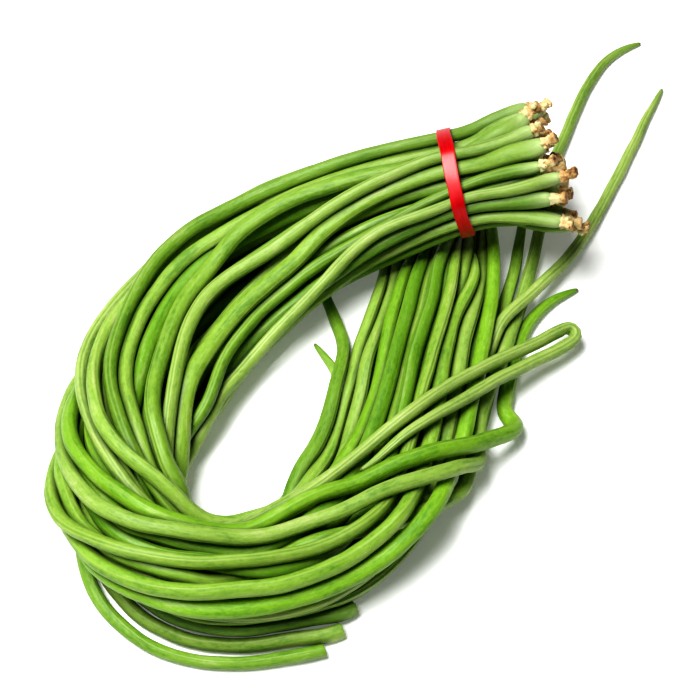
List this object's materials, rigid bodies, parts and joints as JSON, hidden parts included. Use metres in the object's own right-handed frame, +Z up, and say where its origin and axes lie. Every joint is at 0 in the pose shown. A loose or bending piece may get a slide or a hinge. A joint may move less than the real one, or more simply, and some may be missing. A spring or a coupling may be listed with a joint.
{
  "type": "yardlong bean bunch",
  "caption": "Bunch of long, slender green bean pods tied near their stem ends with a flat rubber band and folded into a loop that lies on its side.",
  "frame": {"origin": "middle of the bounding box in plan, on the surface the bunch lies on", "axes": "+X to the right, the way the stem ends point; +Y to the back, the way the two free tips point; +Z up from the surface"},
  "size_m": [0.2816, 0.329, 0.0799],
  "materials": {
    "pod": "satin",
    "stem": "matte",
    "band": "satin"
  },
  "bodies": {
    "root": {"bean_01": "pod", "bean_02": "pod", "bean_03": "pod", "bean_04": "pod", "bean_05": "pod", "bean_06": "pod", "bean_07": "pod", "bean_08": "pod", "bean_09": "pod", "bean_10": "pod", "bean_11": "pod", "bean_12": "pod", "bean_13": "pod", "bean_14": "pod", "bean_15": "pod", "bean_16": "pod", "bean_17": "pod", "bean_18": "pod", "bean_19": "pod", "bean_20": "pod", "bean_21": "pod", "bean_22": "pod", "bean_23": "pod", "bean_24": "pod", "bean_25": "pod", "bean_26": "pod", "bean_27": "pod", "bean_28": "pod", "bean_29": "pod", "bean_30": "pod", "bean_31": "pod", "bean_32": "pod", "bean_33": "pod", "bean_34": "pod", "rubber_band": "band"}
  },
  "joints": []
}
